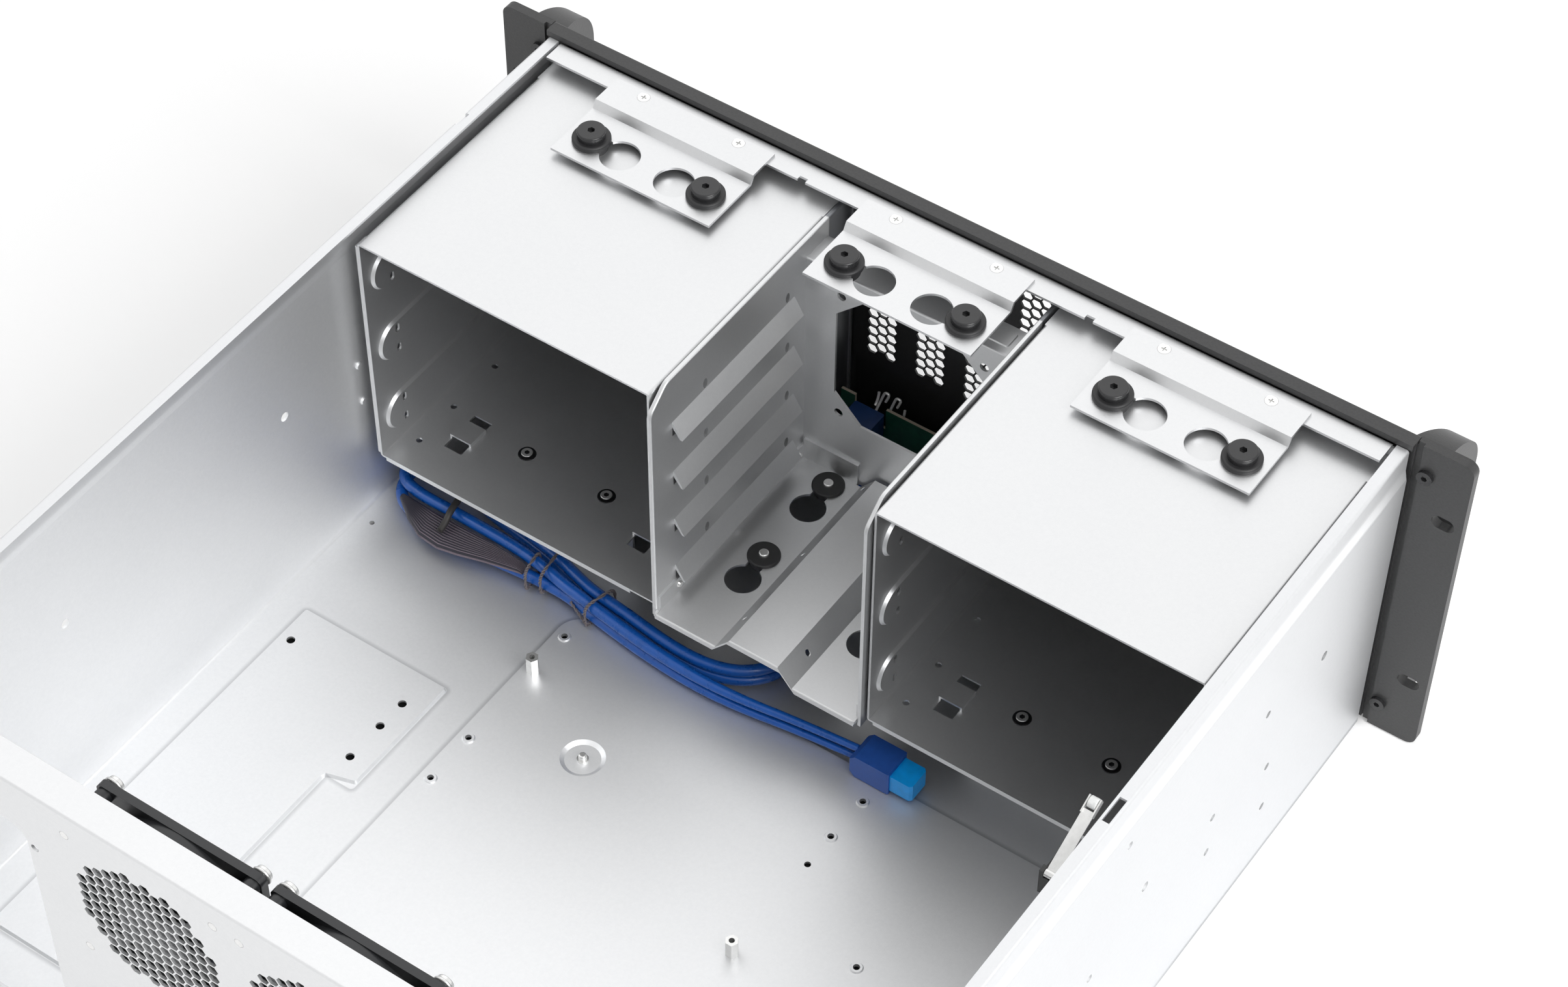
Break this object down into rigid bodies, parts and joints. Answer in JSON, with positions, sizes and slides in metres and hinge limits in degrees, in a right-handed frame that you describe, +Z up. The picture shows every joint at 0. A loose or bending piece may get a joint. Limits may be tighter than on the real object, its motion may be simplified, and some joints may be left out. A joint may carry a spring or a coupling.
{
  "type": "rackmount case",
  "caption": "Open rackmount server case with drive cages, a centre fan bay, rear fans, rack ears and front handles.",
  "frame": {"origin": "under the middle of the case with its handles, at the height of its underside", "axes": "X across the case, -Y towards the front panel, +Z up"},
  "size_m": [0.4826, 0.482, 0.1783],
  "materials": {
    "zinc_sheet": "glossy zinc-coated sheet",
    "black_paint": "fine matt powder coat",
    "black_plastic": "satin",
    "black_rubber": "matt",
    "black_screw": "black oxide",
    "bright_screw": "bright plated",
    "green_board": "solder resist",
    "blue_sleeve": "soft sleeve",
    "black_sleeve": "soft sleeve",
    "grey_tie": "soft",
    "blue_plastic": "satin",
    "light_blue_plastic": "satin"
  },
  "bodies": {
    "case": {"chassis_pan": "zinc_sheet", "front_frame": "zinc_sheet", "rear_wall": "zinc_sheet", "drive_cage_left": "zinc_sheet", "drive_cage_right": "zinc_sheet", "cage_support_left": "zinc_sheet", "cage_support_right": "zinc_sheet", "keyhole_bracket_left": "zinc_sheet", "keyhole_bracket_centre": "zinc_sheet", "keyhole_bracket_right": "zinc_sheet", "centre_plate_left": "zinc_sheet", "centre_plate_right": "zinc_sheet", "centre_tray": "zinc_sheet", "fan_plate": "zinc_sheet", "slot_covers": "zinc_sheet", "switch_holder": "zinc_sheet", "front_panel": "black_paint", "vent_sheet": "black_paint", "rack_ear_left": "black_paint", "rack_ear_right": "black_paint", "handle_left": "black_paint", "handle_right": "black_paint", "bay_cover_left_1": "black_plastic", "bay_cover_left_2": "black_plastic", "bay_cover_left_3": "black_plastic", "bay_cover_right_1": "black_plastic", "bay_cover_right_2": "black_plastic", "bay_cover_right_3": "black_plastic", "usb_ports": "bright_screw", "port_board": "green_board", "header_plug": "blue_plastic", "handle_screws": "black_screw", "bracket_screws": "bright_screw", "bracket_grommets": "black_rubber", "shoulder_screws": "black_screw", "cage_screws": "bright_screw", "tray_grommets": "black_rubber", "tray_studs": "bright_screw", "centre_rivets": "bright_screw", "standoffs": "bright_screw", "locating_stud": "bright_screw", "slot_screws": "bright_screw", "fan_frame_left": "black_plastic", "fan_frame_right": "black_plastic", "finger_guards": "bright_screw", "fan_screws": "bright_screw", "switch_body": "black_plastic", "blue_cable_lower": "blue_sleeve", "blue_cable_upper": "blue_sleeve", "ribbon_lead": "black_sleeve", "ribbon_hank": "black_sleeve", "cable_ties": "grey_tie", "cable_connector": "blue_plastic", "connector_tip": "light_blue_plastic"},
    "rotor_left": {"fan_rotor_left": "black_plastic"},
    "rotor_right": {"fan_rotor_right": "black_plastic"},
    "power_cap": {"power_button": "black_plastic"},
    "reset_cap": {"reset_button": "black_plastic"},
    "lever": {"switch_lever": "bright_screw"},
    "roller": {"switch_roller": "black_plastic"}
  },
  "joints": [
    {"name": "rotor_left_spin", "type": "hinge", "parent": "case", "child": "rotor_left", "pos_m": [0.0693, 0.227, 0.126], "axis": [0, 1, 0], "continuous": true},
    {"name": "rotor_right_spin", "type": "hinge", "parent": "case", "child": "rotor_right", "pos_m": [-0.0147, 0.227, 0.126], "axis": [0, 1, 0], "continuous": true},
    {"name": "power_press", "type": "slide", "parent": "case", "child": "power_cap", "axis": [0, 1, 0], "range_m": [0, 0.0012], "stiffness_N_per_m": 600, "springref_m": -0.001},
    {"name": "reset_press", "type": "slide", "parent": "case", "child": "reset_cap", "axis": [0, 1, 0], "range_m": [0, 0.0012], "stiffness_N_per_m": 400, "springref_m": -0.001},
    {"name": "lever_press", "type": "hinge", "parent": "case", "child": "lever", "pos_m": [-0.203, 0.047, 0.1616], "axis": [1, 0, 0], "range_deg": [0, 14], "stiffness_Nm_per_rad": 0.1, "springref_deg": -11.46},
    {"name": "roller_spin", "type": "hinge", "parent": "lever", "child": "roller", "pos_m": [-0.203, 0.01938, 0.17567], "axis": [1, 0, 0], "continuous": true}
  ]
}
